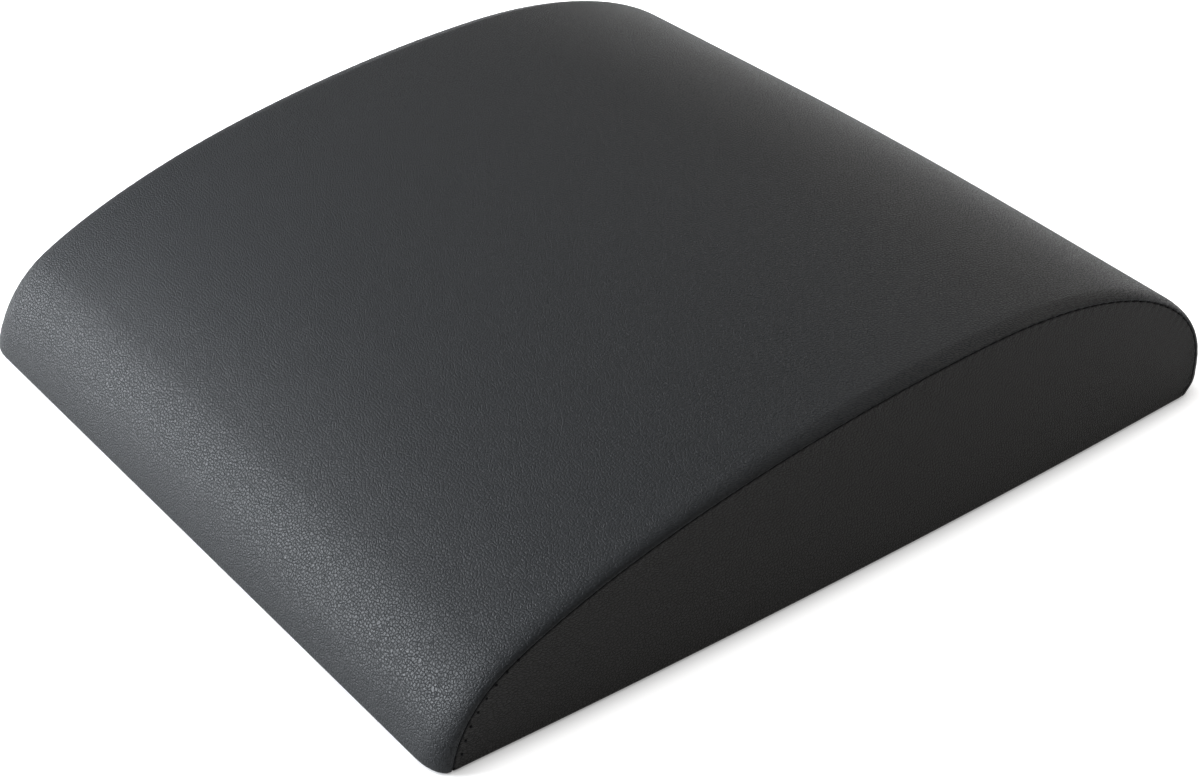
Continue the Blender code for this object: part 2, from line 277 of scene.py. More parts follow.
class StudioSizes(bpy.types.PropertyGroup):
    """Camera and floor"""

    azimuth: angle("Azimuth", "Camera's turn round the pad", -37.6)
    elevation: angle("Elevation", "Camera's height over the floor", 34.32)
    distance: metres("Distance", "From the camera to the point it aims at", 1.0065)
    aim: FloatVectorProperty(
        name="Aim",
        description="Point that the camera looks at",
        subtype="XYZ",
        unit="LENGTH",
        default=(0.0023, -0.0080, -0.0073),
    )
    lens: FloatProperty(name="Lens", description="Focal length in millimetres", default=72.24)
    floor_size: metres("Floor size", "Side of the square floor", 16.0)


class AbMatSettings(bpy.types.PropertyGroup):
    """All sizes and colours of the ab mat"""

    pad: PointerProperty(type=PadSizes)
    cover: PointerProperty(type=CoverSizes)
    filling: PointerProperty(type=FillingSizes)
    sewing: PointerProperty(type=SewingSizes)
    finish: PointerProperty(type=Finishes)
    studio: PointerProperty(type=StudioSizes)


def settings():
    """The property groups of the scene."""
    return bpy.context.scene.ab_mat


# The pad's form


def lengths_along(points):
    """Distance of each point from the first one, along the line through them."""
    steps = np.linalg.norm(np.diff(points, axis=0), axis=1)
    return np.concatenate(((0.0,), np.cumsum(steps)))


def evenly(points, count):
    """So many points at even steps along a line of points."""
    along = lengths_along(points)
    even = np.linspace(0, along[-1], count)
    return np.column_stack([np.interp(even, along, axis) for axis in points.T])


def swell(points):
    """Where the filling pushes points of the straight-sided pad: sides bowed out, top crowned."""
    pad = settings().pad
    x, y, z = np.moveaxis(points, -1, 0)
    across = 2 * y / pad.edge_width
    low = 1 - np.minimum(z / pad.bow_height, 1)
    bow = (pad.seam_bow + (pad.floor_bow - pad.seam_bow) * low) * (1 - (2 * x / pad.length) ** 2)
    rise = pad.crown / pad.edge_height * (1 - across**2)
    return np.stack((x, y + across * bow, z * (1 + rise)), axis=-1)


def mirrored(points):
    """The same points on the other side of the pad."""
    return points * np.array((1, -1, 1))


def both_halves(half):
    """Rows from the right side to the middle, and on to the left side."""
    half = np.array(half)
    return np.concatenate((half, mirrored(half[-2::-1])))


def both_sides(rows):
    """Rows of the right side and of the left one, each with the side's name before them."""
    return ("right_side", rows), ("left_side", mirrored(rows)[::-1])


def quarter(steps):
    """The turns of so many even steps from a right angle down to zero."""
    return [pi / 2 * step / steps for step in range(steps, -1, -1)]


class Arch:
    """The arch seen from the side, sampled closely from the nose's foot to the heel's foot."""

    def __init__(self):
        pad = settings().pad
        cover = settings().cover
        self.half = pad.edge_width / 2
        size = np.array((pad.length, pad.edge_height))
        t = np.linspace(0, 1, KNOT_SAMPLES, endpoint=False)[:, None]
        s = 1 - t
        points = []
        along = []
        for knot, next_knot in zip(OUTLINE_KNOT_SHARES, OUTLINE_KNOT_SHARES[1:]):
            start, leave, arrive, end = (
                np.array(shares) * size for shares in (knot[0], knot[2], next_knot[1], next_knot[0])
            )
            points.append(start * s**3 + 3 * leave * s**2 * t + 3 * arrive * s * t**2 + end * t**3)
            along.append((leave - start) * s**2 + 2 * (arrive - leave) * s * t + (end - arrive) * t**2)
        self.points = np.vstack(points)
        x, z = self.points.T
        along = np.vstack(along)
        along /= np.linalg.norm(along, axis=1)[:, None]
        level = np.minimum(z / pad.level_height, 1)
        out = np.column_stack((-along[:, 1], along[:, 0] * level))
        self.out = out / np.linalg.norm(out, axis=1)[:, None]
        near_foot = np.exp(-((z / cover.roll_reach) ** 2))
        nose = x < 0
        width = np.where(nose, cover.nose_roll_width, cover.heel_roll_width)
        depth = np.where(nose, cover.nose_roll_depth, cover.heel_roll_depth)
        wide_foot = np.where(nose, np.exp(-((z / cover.wide_reach) ** 2)), near_foot)
        self.roll_width = cover.arch_roll_width + (width - cover.arch_roll_width) * wide_foot
        self.roll_depth = cover.arch_roll_depth + (depth - cover.arch_roll_depth) * near_foot
        behind = np.clip((x - cover.flat_start) / cover.flat_reach, 0, 1)
        before_end = np.clip((cover.flat_end - x) / cover.flat_reach, 0, 1)
        self.roll_power = 1 + cover.flatness * behind * before_end

    def row(self, inset, depth, floor, columns):
        """Even points at an inset from the side and a depth under the arch, down to a height."""
        place = self.points - self.out * np.broadcast_to(depth, len(self.points))[:, None]
        y = np.broadcast_to(inset, len(self.points)) - self.half
        line = np.column_stack((place[:, 0], y, place[:, 1]))
        over = np.flatnonzero(line[:, 2] > floor)
        first, last = over[0], over[-1]
        kept = [line[first : last + 1]]
        if first > 0:
            kept.insert(0, self.cut(line[first - 1], line[first], floor))
        if last < len(line) - 1:
            kept.append(self.cut(line[last + 1], line[last], floor))
        return evenly(np.vstack(kept), columns)

    @staticmethod
    def cut(below, above, height):
        """The point at a height between two points."""
        share = (height - below[2]) / (above[2] - below[2])
        return (below + (above - below) * share)[None]

    def crown_row(self, share, floor, columns):
        """A row at a share of the way from the middle to where the edge starts to round."""
        return self.row(self.half - share * (self.half - self.roll_width), 0.0, floor, columns)

    def roll_row(self, turn, floor, columns):
        """A row on the rounding from top to side, an ellipse for a roll power of 1 and flatter above it."""
        inset = self.roll_width * (1 - sin(turn) ** self.roll_power)
        depth = self.roll_depth * (1 - max(cos(turn), 0.0) ** self.roll_power)
        return self.row(inset, depth, floor, columns)

    def seam_row(self, inset, drop, floor, columns):
        """A row at a steady drop below the foot of the rounding."""
        return self.row(inset, self.roll_depth + drop, floor, columns)

    def layer_row(self, share, edge_inset, depth, floor, columns):
        """A row of a layer under the top, at a share of the way from the middle to its own edge."""
        inset = self.half - share * (self.half - edge_inset)
        rounding = np.maximum(0.0, 1 - inset / self.roll_width)
        return self.row(inset, depth + self.roll_depth * (1 - np.sqrt(1 - rounding**2)), floor, columns)


def seam_line(arch):
    """Close points of the groove of the right side seam, where the thread lies."""
    cover = settings().cover
    sunk = settings().sewing.thread_sunk
    return swell(arch.seam_row(sunk, cover.seam_drop, cover.base_roll, KNOT_SAMPLES))


def stitch_count(arch):
    """How many stitches fit on a side seam."""
    return round(lengths_along(seam_line(arch))[-1] / settings().sewing.pitch)


def panel_columns(arch):
    """Points in a row of a panel that runs along a side seam."""
    return stitch_count(arch) * COLUMNS_PER_STITCH + 1


def puckers(columns):
    """How far the leather stands up at each column, from 0 at a needle hole to about 1 between two."""
    stitches = columns // COLUMNS_PER_STITCH
    phase = np.arange(columns) / COLUMNS_PER_STITCH
    fullness = np.random.default_rng(PUCKER_SEED).uniform(*PUCKER_FULLNESS, stitches)
    return np.abs(np.sin(pi * phase)) * fullness[np.minimum(phase.astype(int), stitches - 1)]


def foot_path():
    """(inset, height) from the cover's edge over the floor, under it, and up into the base seam."""
    cover = settings().cover
    turns = quarter(FOOT_STEPS)[::-1]
    roll = [(cover.base_roll * (1 - cos(turn)), cover.base_roll * (1 - sin(turn))) for turn in turns[1:]]
    start = cover.base_roll + cover.base_tuck
    lip = [(start + cover.base_lip * sin(turn), cover.base_lip * (1 - cos(turn))) for turn in turns]
    return [*roll, *lip, (start + cover.base_lip, cover.base_lip + cover.base_allowance)]


def foot_points(edge, inward):
    """The foot path from a point of the cover's edge, in a level direction."""
    inset, height = np.array(foot_path()).T
    return np.column_stack((edge[0] + inward[0] * inset, edge[1] + inward[1] * inset, height))


def foot_row(top, height):
    """Points at a height under a row, shared out between its ends as the row's own points are."""
    along = lengths_along(top)
    x = top[0, 0] + (top[-1, 0] - top[0, 0]) * along / along[-1]
    return np.column_stack((x, top[:, 1], np.full(len(top), height)))


def base_edge():
    """From the cover's edge to the edge of the base panel."""
    cover = settings().cover
    return cover.base_roll + cover.base_tuck + cover.base_lip + cover.seam_gap


def base_clear():
    """Height of the top of the base seam's allowances, with a layer's gap."""
    cover = settings().cover
    return cover.base_lip + cover.base_allowance + settings().filling.layer_gap


def fold_foot():
    """Height at which the side seams' allowances end over the base seam."""
    return base_clear() + settings().cover.leather


def under_seam():
    """From the foot of the rounding down to the filling under a side seam's folds."""
    cover = settings().cover
    return cover.seam_drop + cover.seam_gap + cover.leather + settings().filling.seam_slack


# Meshes


def link_object(name, data):
    """An object with some data, in the scene."""
    made = bpy.data.objects.new(name, data)
    bpy.context.scene.collection.objects.link(made)
    return made


def mesh_object(name, points, faces, edges=()):
    """An object with a mesh of lists of points, faces and edges, in the scene."""
    mesh = bpy.data.meshes.new(name)
    mesh.from_pydata(points, edges, faces)
    return link_object(name, mesh)


def quads(index):
    """The faces of a grid of vertex numbers."""
    corners = (index[:-1, :-1], index[:-1, 1:], index[1:, 1:], index[1:, :-1])
    return np.stack(corners, axis=-1).reshape(-1, 4)


def ring_faces(rings):
    """Vertex numbers of closed rings of points, and the faces between the rings."""
    index = np.arange(rings.shape[0] * rings.shape[1]).reshape(rings.shape[:2])
    return index, quads(np.concatenate((index, index[:, :1]), axis=1))


def lay_uv(mesh, places):
    """The UV map of a sheet, from the place of each vertex on it."""
    uv_map = mesh.uv_layers.new(name="Sheet")
    corner_verts = np.empty(len(mesh.loops), int)
    mesh.loops.foreach_get("vertex_index", corner_verts)
    uv_map.data.foreach_set("uv", places[corner_verts].ravel())


def grid_object(name, rows, roll=None):
    """A smooth sheet over rows of points that run from the nose to the heel. Rows are from -Y to +Y.

    Points that are not a number leave a hole. The UV map has the distances along and across the sheet.
    """
    rows = np.asarray(rows, float)
    real = ~np.isnan(rows[..., 0])
    index = np.full(real.shape, -1)
    index[real] = np.arange(real.sum())
    faces = quads(index)
    faces = faces[(faces >= 0).all(axis=1)]
    made = mesh_object(name, rows[real].tolist(), faces.tolist())
    filled = np.nan_to_num(rows)
    along = np.zeros(real.shape)
    along[:, 1:] = np.cumsum(np.linalg.norm(np.diff(filled, axis=1), axis=2), axis=1)
    across = np.zeros(real.shape)
    across[1:] = np.cumsum(np.linalg.norm(np.diff(filled, axis=0), axis=2), axis=0)
    lay_uv(made.data, np.stack((along[real], across[real]), axis=-1))
    if roll is not None:
        mask = made.data.attributes.new("Roll", "FLOAT", "POINT")
        mask.data.foreach_set("value", np.asarray(roll, float)[real])
    made.data.shade_smooth()
    return made


def thicken(piece, thickness, clamp=0.0):
    """The sheet's wall, inwards from its outer face, thinner where its faces are small if clamped."""
    wall = piece.modifiers.new("Wall", "SOLIDIFY")
    wall.thickness = thickness
    wall.thickness_clamp = clamp
    wall.offset = -1
    wall.use_even_offset = True
    wall.use_quality_normals = True


def finish_piece(piece, material, node):
    """Give a piece its material, hang it under the root body and hide the CAD part that it stands for."""
    piece.data.materials.clear()
    piece.data.materials.append(material)
    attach(piece, "root")
    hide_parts(node)


def pushed_out(rest, most):
    """How far the filling pushes each point of a sheet that is sewn down round its edge.

    A short cloth simulation under pressure from inside, with no move above the most given.
    """
    sheet = grid_object("cloth_test", rest)
    count = len(sheet.data.vertices)
    index = np.arange(count).reshape(rest.shape[:2])
    border = np.concatenate((index[0], index[-1], index[:, 0], index[:, -1]))
    sewn = sheet.vertex_groups.new(name="Sewn")
    sewn.add([int(vertex) for vertex in set(border.tolist())], 1.0, "REPLACE")
    cloth = sheet.modifiers.new("Cloth", "CLOTH")
    for name, value in CLOTH_SETTINGS.items():
        setattr(cloth.settings, name, value)
    cloth.settings.effector_weights.gravity = 0
    cloth.point_cache.frame_start = 1
    cloth.point_cache.frame_end = CLOTH_FRAMES
    scene = bpy.context.scene
    for number in range(1, CLOTH_FRAMES + 1):
        scene.frame_set(number)
    result = sheet.evaluated_get(bpy.context.evaluated_depsgraph_get()).data
    places = np.empty(count * 3)
    result.vertices.foreach_get("co", places)
    moves = places.reshape(rest.shape) - rest
    bpy.data.objects.remove(sheet)
    scene.frame_set(1)
    distance = np.linalg.norm(moves, axis=2, keepdims=True)
    moves *= most * np.tanh(distance / most) / np.maximum(distance, LEAST_MOVE)
    for _ in range(CLOTH_SMOOTHING):
        beside = moves[:-2, 1:-1] + moves[2:, 1:-1] + moves[1:-1, :-2] + moves[1:-1, 2:]
        moves[1:-1, 1:-1] = moves[1:-1, 1:-1] / 2 + beside / 8
    return moves


def spread(coarse, rows, columns):
    """A coarse grid of moves spread over a grid of so many rows and columns."""
    row_at = np.linspace(0, coarse.shape[0] - 1, rows)
    column_at = np.linspace(0, coarse.shape[1] - 1, columns)
    low_row = np.minimum(row_at.astype(int), coarse.shape[0] - 2)
    low_column = np.minimum(column_at.astype(int), coarse.shape[1] - 2)
    row_share = (row_at - low_row)[:, None, None]
    column_share = (column_at - low_column)[None, :, None]
    near = coarse[low_row] * (1 - row_share) + coarse[low_row + 1] * row_share
    return near[:, low_column] * (1 - column_share) + near[:, low_column + 1] * column_share


# Materials


def set_inputs(tree, node, values):
    """Set inputs of a node, by name or number, to a value or to another node's output."""
    for name, value in values.items():
        if isinstance(value, bpy.types.NodeSocket):
            tree.links.new(value, node.inputs[name])
        else:
            node.inputs[name].default_value = value


def add_node(tree, kind, values=(), **options):
    """A node with its options and inputs set."""
    made = tree.nodes.new(kind)
    for option, value in options.items():
        setattr(made, option, value)
    set_inputs(tree, made, dict(values))
    return made


def math(tree, operation, first, second=0.0, third=0.0):
    """The result of a Math node."""
    values = {0: first, 1: second, 2: third}
    return add_node(tree, "ShaderNodeMath", values, operation=operation).outputs[0]


def vector_math(tree, operation, values):
    """The result of a Vector Math node."""
    return add_node(tree, "ShaderNodeVectorMath", values, operation=operation).outputs[0]


def mix_colours(tree, share, first, second):
    """A mix of two colours, each three numbers or a node's output."""
    first, second = (
        colour if isinstance(colour, bpy.types.NodeSocket) else (*colour, 1.0) for colour in (first, second)
    )
    return add_node(tree, "ShaderNodeMix", {0: share, 6: first, 7: second}, data_type="RGBA").outputs[2]


def shaded(colour, factor):
    """A colour made darker or lighter."""
    return [channel * factor for channel in colour]


def group_tree(name, inputs, outputs):
    """A new shader node group with named inputs, each with its default, and named outputs."""
    tree = bpy.data.node_groups.new(name, "ShaderNodeTree")
    for socket, value in inputs.items():
        made = tree.interface.new_socket(name=socket, in_out="INPUT", socket_type="NodeSocketFloat")
        made.default_value = value
    for socket in outputs:
        tree.interface.new_socket(name=socket, in_out="OUTPUT", socket_type="NodeSocketFloat")
    return tree, tree.nodes.new("NodeGroupInput"), tree.nodes.new("NodeGroupOutput")


def pebble_group():
    """Pebbles of embossed leatherette, with the creases between them, fine pores and slow changes of tone.

    Where the sheet rolls over an edge, given by Roll, the creases open up into long ones along that edge.
    """
    name = "Pebble grain"
    if name in bpy.data.node_groups:
        return bpy.data.node_groups[name]
    inputs = {"Pebble width": 0.0013, "Crease share": 0.4, "Roll": 0.0}
    tree, given, result = group_tree(name, inputs, ("Height", "Crease", "Tone"))
    sheet = add_node(tree, "ShaderNodeUVMap", uv_map="Sheet").outputs["UV"]
    per_metre = math(tree, "DIVIDE", 1.0, given.outputs["Pebble width"])
    cells = vector_math(tree, "SCALE", {0: sheet, "Scale": per_metre})

    def domes(along=1.0, across=1.0, scale=1.0):
        """Height of round-topped cells, stretched by the first two numbers."""
        stretched = vector_math(tree, "MULTIPLY", {0: cells, 1: (along, across, 0.0)})
        wobble = {"Vector": stretched, "Scale": 0.7, "Detail": 2.0}
        wobble = add_node(tree, "ShaderNodeTexNoise", wobble, noise_dimensions="2D").outputs["Color"]
        bent = vector_math(tree, "MULTIPLY_ADD", {0: wobble, 1: (1.0, 1.0, 0.0), 2: stretched})
        edge = add_node(
            tree,
            "ShaderNodeTexVoronoi",
            {"Vector": bent, "Scale": scale, "Randomness": 0.9},
            feature="DISTANCE_TO_EDGE",
            voronoi_dimensions="2D",
        ).outputs["Distance"]
        limits = {"Value": edge, "From Min": 0.0, "From Max": given.outputs["Crease share"]}
        share = add_node(tree, "ShaderNodeMapRange", limits).outputs["Result"]
        return math(tree, "MULTIPLY", share, math(tree, "SUBTRACT", 2.0, share))

    pebbles = domes()
    small = domes(scale=1.9)
    creases = domes(along=0.35, across=1.2)
    pores = {"Vector": cells, "Scale": 5.0, "Detail": 2.0, "Roughness": 0.6}
    pores = add_node(tree, "ShaderNodeTexNoise", pores, noise_dimensions="2D").outputs["Fac"]
    plain = math(tree, "MULTIPLY", pebbles, 1 - SMALL_PEBBLES)
    plain = math(tree, "MULTIPLY_ADD", small, SMALL_PEBBLES, plain)
    rolled = math(tree, "MULTIPLY", plain, 1 - LONG_CREASES)
    rolled = math(tree, "MULTIPLY_ADD", creases, LONG_CREASES, rolled)
    either = {0: given.outputs["Roll"], 2: plain, 3: rolled}
    either = add_node(tree, "ShaderNodeMix", either, data_type="FLOAT").outputs[0]
    place = add_node(tree, "ShaderNodeTexCoord").outputs["Object"]
    tone = {"Vector": place, "Scale": 14.0, "Detail": 3.0, "Roughness": 0.55}
    tone = add_node(tree, "ShaderNodeTexNoise", tone).outputs["Fac"]
    height = math(tree, "MULTIPLY_ADD", pores, PORES, either)
    crease = math(tree, "SUBTRACT", 1.0, either)
    set_inputs(tree, result, {"Height": height, "Crease": crease, "Tone": tone})
    return tree


def new_material(name):
    """A material with an empty Principled shader: the material, its node tree and the shader."""
    made = bpy.data.materials.new(name)
    made.use_nodes = True
    return made, made.node_tree, made.node_tree.nodes["Principled BSDF"]


def set_shader(tree, shader, colour, roughness, specular, height, depth, strength=1.0):
    """Set a Principled shader's inputs, with a bump of a height and a depth."""
    bump = {"Strength": strength, "Distance": depth, "Height": height}
    normal = add_node(tree, "ShaderNodeBump", bump).outputs["Normal"]
    values = {"Base Color": colour, "Roughness": roughness, "Specular IOR Level": specular, "Normal": normal}
    set_inputs(tree, shader, values)


def leatherette(panel):
    """Embossed leatherette of a panel: duller in the creases, with painted shade darkening them, glossier on
    the pebbles.
    """
    name = "cover_" + panel
    if name in bpy.data.materials:
        return bpy.data.materials[name]
    made, tree, shader = new_material(name)
    finish = settings().finish
    colour = getattr(finish, panel + "_colour")
    pebble_share, crease_share, depth, low, high, specular = LEATHERETTES[panel]
    grain = {"Pebble width": finish.pebble * pebble_share, "Crease share": crease_share}
    if panel == "top":
        grain["Roll"] = add_node(tree, "ShaderNodeAttribute", attribute_name="Roll").outputs["Fac"]
    grain = add_node(tree, "ShaderNodeGroup", grain, node_tree=pebble_group()).outputs
    toned = mix_colours(tree, grain["Tone"], colour, shaded(colour, WORN_SHADE))
    # Painted shade: the colour gets darker in the creases
    shade = mix_colours(tree, grain["Crease"], toned, shaded(colour, PAINTED_CREASE_SHADE))
    dull = math(tree, "MULTIPLY_ADD", grain["Crease"], high - low, low)
    rough = math(tree, "MULTIPLY_ADD", grain["Tone"], TONE_ROUGHNESS, dull)
    set_shader(tree, shader, shade, rough, specular, grain["Height"], depth)
    return made


def thread():
    """Twisted black sewing thread, with a painted highlight on its strands."""
    name = "cover_thread"
    if name in bpy.data.materials:
        return bpy.data.materials[name]
    made, tree, shader = new_material(name)
    place = add_node(tree, "ShaderNodeTexCoord").outputs["Object"]
    twist = {"Vector": place, "Scale": 900.0, "Distortion": 1.5}
    twist = add_node(tree, "ShaderNodeTexWave", twist, bands_direction="DIAGONAL").outputs["Fac"]
    colour = settings().finish.thread_colour
    # Painted highlight: lighter bands along the twist, where the strands catch the light
    shade = mix_colours(tree, twist, colour, shaded(colour, PAINTED_STRAND_HIGHLIGHT))
    set_shader(
        tree, shader, shade, roughness=0.7, specular=0.12, height=twist, depth=0.0001, strength=0.8
    )
    return made


def foam(name, colour, cell, depth):
    """Open-cell foam: small round pores of one width, darkened by painted shade, with slow changes of tone.
    """
    if name in bpy.data.materials:
        return bpy.data.materials[name]
    made, tree, shader = new_material(name)
    place = add_node(tree, "ShaderNodeTexCoord").outputs["Object"]
    pores = {"Vector": place, "Scale": 1 / cell, "Randomness": 0.9}
    pores = add_node(tree, "ShaderNodeTexVoronoi", pores).outputs["Distance"]
    tone = {"Vector": place, "Scale": 25.0, "Detail": 3.0}
    tone = add_node(tree, "ShaderNodeTexNoise", tone).outputs["Fac"]
    # Painted shade: the colour gets darker in the pores
    dark = shaded(colour, PAINTED_PORE_SHADE)
    shade = mix_colours(tree, pores, dark, colour)
    toned = mix_colours(tree, math(tree, "MULTIPLY", tone, FOAM_TONE), shade, dark)
    set_shader(tree, shader, toned, roughness=0.95, specular=0.2, height=pores, depth=depth)
    return made


def soft_padding():
    """The thin foam round the core."""
    return foam("soft_padding", settings().finish.padding_colour, cell=0.0005, depth=0.00015)


# Stitches


def stitches_tree():
    """Geometry nodes that lay stitches at even steps along a line of edges."""
    name = "Stitches along a seam"
    if name in bpy.data.node_groups:
        return bpy.data.node_groups[name]
    tree = bpy.data.node_groups.new(name, "GeometryNodeTree")
    sockets = (
        ("Geometry", "INPUT", "Geometry"),
        ("Pitch", "INPUT", "Float"),
        ("Stitch length", "INPUT", "Float"),
        ("Thread width", "INPUT", "Float"),
        ("Tilt", "INPUT", "Float"),
        ("Material", "INPUT", "Material"),
        ("Geometry", "OUTPUT", "Geometry"),
    )
    for socket, way, kind in sockets:
        tree.interface.new_socket(name=socket, in_out=way, socket_type="NodeSocket" + kind)
    given = tree.nodes.new("NodeGroupInput").outputs
    path = add_node(tree, "GeometryNodeMeshToCurve", {"Mesh": given["Geometry"]}).outputs["Curve"]
    places = {"Curve": path, "Length": given["Pitch"]}
    places = add_node(tree, "GeometryNodeCurveToPoints", places, mode="LENGTH").outputs
    spindle = {"Segments": 8, "Rings": 6, "Radius": 0.5}
    spindle = add_node(tree, "GeometryNodeMeshUVSphere", spindle).outputs["Mesh"]
    size = {"X": given["Thread width"], "Y": given["Thread width"], "Z": given["Stitch length"]}
    size = add_node(tree, "ShaderNodeCombineXYZ", size).outputs[0]
    turn = add_node(tree, "ShaderNodeCombineXYZ", {"X": given["Tilt"]}).outputs[0]
    tilted = {"Rotation": places["Rotation"], "Rotate By": turn}
    tilted = add_node(tree, "FunctionNodeRotateRotation", tilted, rotation_space="LOCAL").outputs[0]
    laid = {"Points": places["Points"], "Instance": spindle, "Rotation": tilted, "Scale": size}
    laid = add_node(tree, "GeometryNodeInstanceOnPoints", laid).outputs[0]
    real = add_node(tree, "GeometryNodeRealizeInstances", {"Geometry": laid}).outputs[0]
    smooth = add_node(tree, "GeometryNodeSetShadeSmooth", {"Geometry": real}).outputs[0]
    painted = {"Geometry": smooth, "Material": given["Material"]}
    painted = add_node(tree, "GeometryNodeSetMaterial", painted).outputs[0]
    set_inputs(tree, tree.nodes.new("NodeGroupOutput"), {"Geometry": painted})
    return tree


def stitched(name, line, pitch, length, width, tilt=0.0, closed=False):
    """A plain mesh of the stitches along a line of points."""
    count = len(line)
    edges = [(step, (step + 1) % count) for step in range(count if closed else count - 1)]
    path = mesh_object(name, line.tolist(), (), edges)
    path.name = name + "_path"
    sewing = path.modifiers.new("Stitches", "NODES")
    sewing.node_group = stitches_tree()
    values = {
        "Pitch": pitch,
        "Stitch length": length,
        "Thread width": width,
        "Tilt": tilt,
        "Material": thread(),
    }
    for item in sewing.node_group.interface.items_tree:
        if item.in_out == "INPUT" and item.name in values:
            sewing[item.identifier] = values[item.name]
    evaluated = path.evaluated_get(bpy.context.evaluated_depsgraph_get())
    made = link_object(name, bpy.data.meshes.new_from_object(evaluated))
    bpy.data.objects.remove(path)
    return made


def joined(name, pieces):
    """One object with the meshes of several, which are removed."""
    with bpy.context.temp_override(active_object=pieces[0], selected_editable_objects=pieces):
        bpy.ops.object.join()
    pieces[0].name = name
    return pieces[0]


# Pieces


def top_panel_rows(arch):
    """Rows of the top panel between its two seams' allowances, and where they roll over an edge."""
    cover = settings().cover
    columns = panel_columns(arch)
    lift = settings().sewing.top_pucker * puckers(columns)
    no_foot = np.full((len(foot_path()), 3), np.nan)
    seam = cover.seam_drop - cover.seam_gap / 2
    allowance = arch.seam_row(cover.seam_lip + cover.seam_allowance, seam, fold_foot(), columns)
    half = [np.vstack((no_foot, allowance, no_foot))]
    rolls = [1.0]

    def add(row, x, y, roll):
        """A row with its two feet, which run in a level direction from its ends."""
        nose, heel = foot_points(row[0], (x, y)), foot_points(row[-1], (-x, y))
        half.append(np.vstack((nose[::-1], row, heel)))
        rolls.append(roll)

    for turn in quarter(LIP_ROWS):
        drop = seam - cover.seam_lip * (1 - sin(turn))
        row = arch.seam_row(cover.seam_lip * (1 - cos(turn)), drop, cover.base_roll, columns)
        row[:, 1] -= lift * cos(turn)
        add(row, 0, 1, 1.0)
    for turn in quarter(ROLL_ROWS):
        row = arch.roll_row(turn, cover.base_roll, columns)
        row[:, 1] -= lift * sin(turn)
        row[:, 2] += lift * cos(turn) * (turn * 2 / pi)
        add(row, cos(turn), sin(turn), (turn * 2 / pi) ** CREASE_FADE_POWER)
    for step in range(CROWN_ROWS - 1, -1, -1):
        add(arch.crown_row(step / CROWN_ROWS, cover.base_roll, columns), 1, 0, 0.0)
    rows = both_halves(half)
    near_foot = np.exp(-((rows[..., 2] / cover.roll_reach) ** 2))
    return swell(rows), np.array(rolls + rolls[-2::-1])[:, None] * near_foot


class ABMAT_OT_top_panel(bpy.types.Operator):
    """Make the strip of leatherette over the nose, the arch and the heel"""

    bl_idname = "ab_mat.top_panel"
    bl_label = "Top panel"

    def execute(self, context):
        rows, roll = top_panel_rows(Arch())
        edge = LIP_ROWS + ROLL_ROWS + 2
        foot = len(foot_path())
        free = rows[edge:-edge, foot:-foot]
        rest = free[::CLOTH_ROW_STEP, ::CLOTH_COLUMN_STEP]
        moves = pushed_out(rest, settings().cover.swell)
        rows[edge:-edge, foot:-foot] += spread(moves, *free.shape[:2])
        piece = grid_object("top_panel_cover", rows, roll)
        thicken(piece, settings().cover.leather)
        finish_piece(piece, leatherette("top"), "top_panel")
        return {"FINISHED"}


def side_panel_rows(arch):
    """Rows of the right side panel, from the base seam up to its own seam's allowance."""
    cover = settings().cover
    sewing = settings().sewing
    columns = panel_columns(arch)
    lift = sewing.side_pucker * puckers(columns)
    seam = cover.seam_drop + cover.seam_gap / 2
    rows = [arch.seam_row(cover.seam_lip + cover.seam_allowance, seam, fold_foot(), columns)]
    for turn in quarter(LIP_ROWS):
        inset, drop = cover.seam_lip * (1 - cos(turn)), seam + cover.seam_lip * (1 - sin(turn))
        rows.append(arch.seam_row(inset, drop, cover.base_roll + LEAST_COLUMN, columns))
    top = rows[-1]
    foot = foot_row(top, cover.base_roll)
    for step in range(1, SIDE_ROWS + 1):
        rows.append(top + (foot - top) * (step / SIDE_ROWS) ** SIDE_ROW_POWER)
    for step, row in enumerate(rows[1:]):
        below = np.linalg.norm(row - top, axis=1) if step > LIP_ROWS else np.zeros(columns)
        row[:, 1] -= lift * min(1.0, step / LIP_ROWS) * np.exp(-below / sewing.pucker_reach)
    feet = np.array([foot_points(point, (0, 1)) for point in rows[-1]])
    clipped = len(foot_path()) - FOOT_STEPS
    feet[0, clipped:, 0] += cover.corner_clip
    feet[-1, clipped:, 0] -= cover.corner_clip
    rows += list(np.moveaxis(feet, 0, 1))
    return swell(np.array(rows[::-1]))


class ABMAT_OT_side_panels(bpy.types.Operator):
    """Make the flat leatherette panels under the two side seams"""

    bl_idname = "ab_mat.side_panels"
    bl_label = "Side panels"

    def execute(self, context):
        for name, rows in both_sides(side_panel_rows(Arch())):
            piece = grid_object(name + "_panel_cover", rows)
            thicken(piece, settings().cover.leather, clamp=SIDE_WALL_CLAMP)
            finish_piece(piece, leatherette("side"), name + "_panel")
        return {"FINISHED"}


